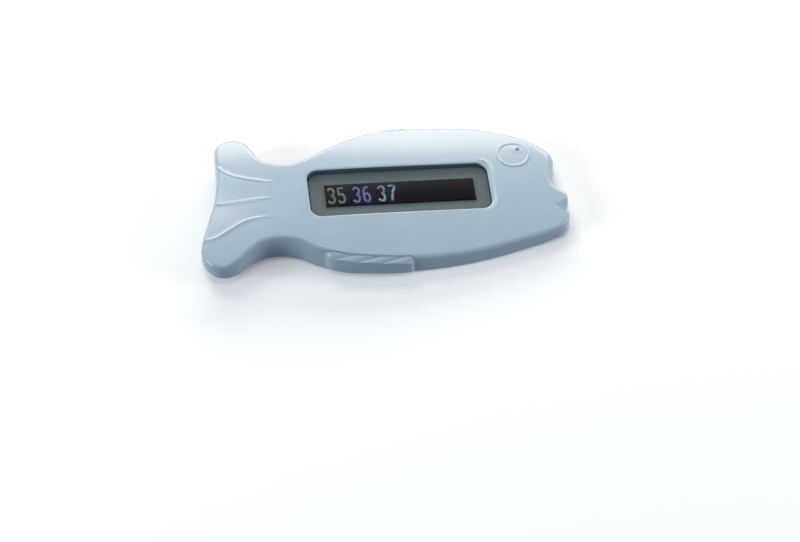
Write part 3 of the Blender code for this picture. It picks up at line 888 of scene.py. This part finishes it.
def digit_inlay(name, text, left):
    """The digits of one cell as thin inlays in the film's surface."""
    inlay = Sewing(name)
    for place, digit in enumerate(text):
        origin = (left + place * (DIGIT_WIDTH + DIGIT_GAP), -DIGIT_HEIGHT / 2 - DIGITS_LOWER)
        loops = []
        for line in DIGIT_STROKES[digit]:
            inner = (DIGIT_WIDTH - STROKE, DIGIT_HEIGHT - STROKE)
            scaled = finer(np.array(line) * inner + STROKE / 2, STROKE_SPACING)
            loops.append(turned(stroke_outline(scaled, STROKE) + origin) + STRIP_CENTRE)
        flat, faces = patch(loops, loops)
        inlay.lifted(flat, faces, pocket_plane(flat[:, 0], FILM_TOP - INLAY))
    obj = inlay.piece()
    thickness = obj.modifiers.new("thickness", "SOLIDIFY")
    thickness.thickness = INLAY * 2 * MM
    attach(obj, "root")
    return obj


numbers = []
for cell, text in enumerate(("35", "36", "37")):
    numbers.append(digit_inlay("number_" + text, text, cell * CELL + FIRST_DIGIT - STRIP_LENGTH / 2))

# %% [markdown]
# ## Writing materials as sums
# A material in Blender is a graph of nodes. Written out node by node it is long and hard to read, so
# one small class wraps the output of a node and lets Python's own signs add the Math nodes:
# `1 - mask` or `noise * 0.2 + 0.3` build the nodes that they describe. Everything else
# comes from one method, which takes a node's type, its settings and its sockets.

# %% A small language for shaders
# softness of the edge of the window mask that carries the painted shade inside the window
PAINTED_SHADE_EDGE = 0.00008


class Value:
    """A number or a colour that flows out of a node."""

    def __init__(self, graph, output):
        self.graph = graph
        self.output = output

    def __add__(self, other):
        return self.graph.maths("ADD", self, other)

    def __radd__(self, other):
        return self.graph.maths("ADD", other, self)

    def __sub__(self, other):
        return self.graph.maths("SUBTRACT", self, other)

    def __rsub__(self, other):
        return self.graph.maths("SUBTRACT", other, self)

    def __mul__(self, other):
        return self.graph.maths("MULTIPLY", self, other)

    def __rmul__(self, other):
        return self.graph.maths("MULTIPLY", other, self)

    def __truediv__(self, other):
        return self.graph.maths("DIVIDE", self, other)

    def __rtruediv__(self, other):
        return self.graph.maths("DIVIDE", other, self)


class Graph:
    """A node tree, with one method that adds any node."""

    def __init__(self, tree):
        self.tree = tree

    def plug(self, value, socket):
        if isinstance(value, Value):
            self.tree.links.new(value.output, socket)
        elif isinstance(value, tuple) and len(value) == 3 and len(socket.default_value) == 4:
            socket.default_value = (*value, 1.0)
        else:
            socket.default_value = value

    def node(self, kind, settings=(), sockets=(), out=0):
        made = self.tree.nodes.new("ShaderNode" + kind)
        for name, value in dict(settings).items():
            if name == "stops":
                self.set_stops(made.color_ramp, value)
            else:
                setattr(made, name, value)
        for name, value in dict(sockets).items():
            self.plug(value, made.inputs[name])
        return Value(self, made.outputs[out])

    def set_stops(self, ramp, stops):
        while len(ramp.elements) < len(stops):
            ramp.elements.new(1.0)
        for element, (place, colour) in zip(ramp.elements, stops):
            element.position = place
            element.color = (*colour, 1.0)

    def maths(self, operation, first, second, clamp=False):
        return self.node("Math", {"operation": operation, "use_clamp": clamp}, {0: first, 1: second})

    def blend(self, mask, first, second):
        """The first colour where the mask is 0, the second where it is 1."""
        return self.node("Mix", {"data_type": "RGBA"}, {0: mask, 6: first, 7: second}, 2)

    def place(self):
        """The place on the object, in metres, in the frame of the CAD model."""
        return self.node("TexCoord", out="Object")

    def noise(self, scale, detail=2.0, stretch=(1, 1, 1)):
        where = self.node("Mapping", {}, {"Vector": self.place(), "Scale": stretch})
        return self.node("TexNoise", {}, {"Vector": where, "Scale": scale, "Detail": detail})

    def from_window(self):
        """The place along and across the window, in metres from its middle."""
        where = self.node("Mapping", {"vector_type": "TEXTURE"}, {
            "Vector": self.place(),
            "Location": (WINDOW_CENTRE[0] * MM, WINDOW_CENTRE[1] * MM, 0),
            "Rotation": (0, 0, WINDOW_TURN),
        })
        return [self.node("SeparateXYZ", {}, {"Vector": where}, axis) for axis in "XY"]

    def inside_window(self, grown):
        """One inside the window when it is grown by this many metres, zero outside."""
        along, across = (self.maths("ABSOLUTE", value, 0.0) for value in self.from_window())
        past_end = self.maths("MAXIMUM", along - (WINDOW_LENGTH / 2 - WINDOW_CORNER) * MM, 0.0)
        past_side = self.maths("MAXIMUM", across - (WINDOW_WIDTH / 2 - WINDOW_CORNER) * MM, 0.0)
        away = self.maths("SQRT", past_end * past_end + past_side * past_side, 0.0)
        edge = WINDOW_CORNER * MM + grown
        return 1 - self.between(away, edge, edge + PAINTED_SHADE_EDGE)

    def between(self, value, low, high):
        """Zero below the low mark, one above the high one, smooth in between."""
        settings = {"interpolation_type": "SMOOTHSTEP"}
        return self.node("MapRange", settings, {"Value": value, "From Min": low, "From Max": high})

    def seen(self):
        """One for the rays that the eye follows: straight, mirrored or through something clear."""
        straight = self.node("LightPath", out="Is Camera Ray")
        mirrored = self.node("LightPath", out="Is Glossy Ray")
        through = self.node("LightPath", out="Is Transmission Ray")
        return self.maths("ADD", straight + mirrored, through, clamp=True)


class Finish(Graph):
    """A material with one Principled shader."""

    def __init__(self, name):
        self.material = bpy.data.materials.new(name)
        self.material.use_nodes = True
        super().__init__(self.material.node_tree)
        self.shader = self.tree.nodes["Principled BSDF"]

    def set(self, **values):
        for name, value in values.items():
            self.plug(value, self.shader.inputs[name.replace("_", " ").title().replace("Ior", "IOR")])

    def bump(self, height, depth):
        """Fine relief: the height is a value from 0 to 1, the depth is in metres."""
        self.set(Normal=self.node("Bump", {}, {"Height": height, "Distance": depth, "Strength": 1.0}))

    def dress(self, *objects):
        for obj in objects:
            obj.data.materials.clear()
            obj.data.materials.append(self.material)
            print(self.material.name, "on", obj.name)


print("shader language ready")

# %% [markdown]
# ## The blue plastic
# The body is a pale powder blue, moulded with a satin gloss. Such plastic is never quite even: the
# pigment clouds a little where the melt flowed, and the skin has a very fine orange peel
# that softens reflections. Both are noise, and both are kept faint. A weak clear coat adds the
# sharper shine of the polished mould. Inside the window the base colour is painted much darker:
# it is painted shade for the deep, shadowed walls of the window's pocket.

# %% Powder blue plastic
PAINTED_SHADE_GROWN = 0.0001
body = Finish("powder_blue_plastic")
clouds = body.noise(38.0, 3.0)
flow = body.noise(120.0, 2.0, (0.35, 1.0, 1.0))
peel = body.noise(2600.0, 2.0)
# painted shade: a mask for everything inside the window, whose walls get a dark colour in place of the shade
# in the recess
painted_window_shade = body.inside_window(PAINTED_SHADE_GROWN)
plastic = body.blend(
    body.between(clouds * 0.7 + flow * 0.3, 0.3, 0.7), (0.402, 0.518, 0.618), (0.428, 0.538, 0.630),
)
body.set(
    # painted shade: the dark blue inside the window stands in for shade on the pocket's walls
    base_color=body.blend(painted_window_shade, plastic, (0.080, 0.108, 0.135)),
    roughness=flow * 0.08 + peel * 0.05 + 0.20,
    metallic=0.0,
    coat_weight=0.25,
    coat_roughness=0.14,
)
body.bump(peel * 0.5 + flow * 0.5, 0.000012)
body.dress(fish_shell, base_cover)

# %% [markdown]
# ## Card, film and lit numbers
# The card is a matt grey sheet with a faint grain. The film is black with a satin skin, and it glows
# a little round the warm cells. A thin pale band at each of its cut ends is a painted highlight
# on those edges. The crystals in a number show more than one colour at once, because each small
# patch of them is at its own temperature.

# %% Grey card
card = Finish("matt_grey_card")
grain = card.noise(1500.0, 4.0)
shade = card.noise(60.0, 2.0)
card.set(
    base_color=card.blend(grain * 0.5 + shade * 0.5, (0.102, 0.133, 0.141), (0.129, 0.163, 0.172)),
    roughness=grain * 0.15 + 0.55,
    metallic=0.0,
    specular_ior_level=0.25,
)
card.bump(grain, 0.00002)
card.dress(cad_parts["backing_card"])

# %% Black film
black = Finish("black_crystal_film")
from_left = black.node("SeparateXYZ", {}, {"Vector": black.place()}, "X") - STRIP_CENTRE[0] * MM
from_below = black.node("SeparateXYZ", {}, {"Vector": black.place()}, "Y") - STRIP_CENTRE[1] * MM
cells = (from_left + from_below * math.sin(WINDOW_TURN)) / (STRIP_LENGTH * MM) + 0.5
blotch = black.noise(230.0, 3.0)
tint = black.node(
    "ValToRGB",
    {
        "stops": (
            (0.00, (0.010, 0.015, 0.010)), (0.12, (0.010, 0.014, 0.013)), (0.20, (0.009, 0.011, 0.038)),
            (0.30, (0.009, 0.013, 0.048)), (0.36, (0.017, 0.006, 0.016)), (0.42, (0.008, 0.018, 0.026)),
            (0.48, (0.016, 0.007, 0.007)), (0.52, (0.005, 0.006, 0.007)), (1.00, (0.005, 0.006, 0.008)),
        ),
    },
    {"Fac": cells},
)
# painted highlight: a thin pale band at each cut end of the film stands in for light caught on its edges
ends = 1 - black.between(cells, 0.001, 0.005) * black.between(1 - cells, 0.001, 0.005)
dark = black.blend(black.between(blotch, 0.25, 0.6), (0.004, 0.005, 0.007), tint)
black.set(
    # painted highlight: the pale grey at the film's ends
    base_color=black.blend(ends, dark, (0.16, 0.17, 0.17)),
    roughness=blotch * 0.12 + 0.34,
    metallic=0.0,
    specular_ior_level=0.045,
)
black.bump(blotch, 0.00001)
black.dress(crystal_film)

# %% Lit numbers
LIT_COLOURS = {
    "number_35": ((0.026, 0.040, 0.026), (0.076, 0.086, 0.066), (0.044, 0.044, 0.082)),
    "number_36": ((0.020, 0.024, 0.085), (0.060, 0.060, 0.180), (0.034, 0.060, 0.120)),
    "number_37": ((0.020, 0.105, 0.140), (0.140, 0.180, 0.240), (0.070, 0.330, 0.330)),
}
for number in numbers:
    lit = Finish(number.name + "_crystals")
    patches = lit.noise(620.0, 2.0)
    grains = lit.noise(1900.0, 2.0)
    first, second, third = LIT_COLOURS[number.name]
    colour = lit.node(
        "ValToRGB", {"stops": ((0.34, (0.008, 0.010, 0.014)), (0.42, first), (0.52, second), (0.62, third))},
        {"Fac": patches * 0.75 + grains * 0.25},
    )
    lit.set(base_color=colour, roughness=grains * 0.1 + 0.35, metallic=0.0)
    lit.bump(grains, 0.000008)
    lit.dress(number)
print("materials:", len(bpy.data.materials))

# %% [markdown]
# ## Room, light and camera
# The object lies on a plain white table. A broad soft light stands low behind it and draws the
# bright sheen along the far side of the crown, and another hangs higher up behind. A small bright
# one overhead gives the crisp highlights, one at each end shapes the tail and the head, and the
# room itself gives a dim cool fill. For the camera the room and the floor are white, through Light
# Path, so the background stays white while the object is lit at a plain level.

# %% Floor
FLOOR_HALF = 3.0
FLOOR_BELOW = 0.00002
mesh = bpy.data.meshes.new("floor")
corners = [(x * FLOOR_HALF, y * FLOOR_HALF, 0) for x, y in ((-1, -1), (1, -1), (1, 1), (-1, 1))]
mesh.from_pydata(corners, [], [(0, 1, 2, 3)])
floor = bpy.data.objects.new("floor", mesh)
floor.location.z = -FLOOR_BELOW
bpy.context.scene.collection.objects.link(floor)
table = Finish("white_table")
seen = table.seen()
table.set(
    base_color=table.blend(seen, (0.13, 0.19, 0.28), (0.98, 0.98, 0.98)),
    roughness=0.9,
    specular_ior_level=0.0,
    emission_color=table.blend(seen, (0, 0, 0), (1, 1, 1)),
    emission_strength=0.16,
)
table.dress(floor)

# %% World
world = bpy.data.worlds.new("white_room")
bpy.context.scene.world = world
world.use_nodes = True
room = Graph(world.node_tree)
background = world.node_tree.nodes["Background"]
direction = room.node("TexCoord", out="Generated")
upwards = room.node("SeparateXYZ", {}, {"Vector": direction}, "Z")
backwards = room.node("SeparateXYZ", {}, {"Vector": direction}, "Y")
level = room.between(upwards, -0.1, 0.9) * 0.14 + room.between(backwards, -0.3, 0.8) * 0.14 + 0.04
seen = room.seen()
room.plug(room.blend(seen, (0.84, 0.97, 1.10), (1, 1, 1)), background.inputs["Color"])
room.plug(seen + (1 - seen) * level, background.inputs["Strength"])
print("nodes in the world:", len(world.node_tree.nodes))

# %% Lights


def soft_light(name, place, size, radiance, colour):
    """A rectangle of light that faces the object. Its radiance is given, with 1 as white."""
    data = bpy.data.lights.new(name, "AREA")
    data.shape = "RECTANGLE"
    data.size, data.size_y = size
    data.energy = radiance * math.pi * size[0] * size[1]
    data.color = colour
    lamp = bpy.data.objects.new(name, data)
    lamp.location = place
    lamp.rotation_euler = (-Vector(place)).to_track_quat("-Z", "Y").to_euler()
    lamp.visible_camera = False
    bpy.context.scene.collection.objects.link(lamp)
    print(name, "watts:", round(data.energy, 3))


soft_light("back_light", (0.12, 1.00, 0.42), (1.2, 0.42), 5.9, (1.0, 0.93, 0.83))
soft_light("upper_light", (-0.40, 0.75, 1.08), (0.5, 0.5), 4.6, (1.0, 0.97, 0.92))
soft_light("front_light", (-0.10, -0.18, 1.38), (0.20, 0.14), 18.0, (1.0, 0.99, 0.97))
soft_light("left_light", (-1.15, -0.36, 0.48), (0.6, 0.5), 8.4, (0.90, 0.97, 1.0))
soft_light("right_light", (1.2, -0.24, 0.36), (0.6, 0.5), 7.6, (0.90, 0.97, 1.0))

# %% Camera
VIEW_ELEVATION = math.radians(51.2)
VIEW_TURN = math.radians(5.6)
FOCAL_PIXELS = 3250.0
PIXELS_PER_MM = 2.452
IMAGE = (800, 542)
ANCHOR = Vector((0.65, -4.5, 0.0)) * MM
ANCHOR_PIXEL = (385, 217)

distance_back = FOCAL_PIXELS / PIXELS_PER_MM * MM
right = Vector((math.cos(VIEW_TURN), -math.sin(VIEW_TURN), 0))
ahead = Vector((
    math.sin(VIEW_TURN) * math.cos(VIEW_ELEVATION),
    math.cos(VIEW_TURN) * math.cos(VIEW_ELEVATION),
    -math.sin(VIEW_ELEVATION),
))
upright = right.cross(ahead)
across = (ANCHOR_PIXEL[0] - IMAGE[0] / 2) / FOCAL_PIXELS * distance_back
above = -(ANCHOR_PIXEL[1] - IMAGE[1] / 2) / FOCAL_PIXELS * distance_back
camera = bpy.data.objects.new("camera", bpy.data.cameras.new("camera"))
camera.data.sensor_width = 36.0
camera.data.lens = FOCAL_PIXELS / IMAGE[0] * camera.data.sensor_width
camera.data.clip_start = 0.05
camera.data.clip_end = 20.0
axes = Matrix((right, upright, -ahead)).transposed()
eye_point = ANCHOR - ahead * distance_back - right * across - upright * above
camera.matrix_world = Matrix.Translation(eye_point) @ axes.to_4x4()
bpy.context.scene.collection.objects.link(camera)
bpy.context.scene.camera = camera
bpy.context.scene.view_settings.view_transform = "Standard"
print("camera at", [round(value, 4) for value in camera.matrix_world.translation])
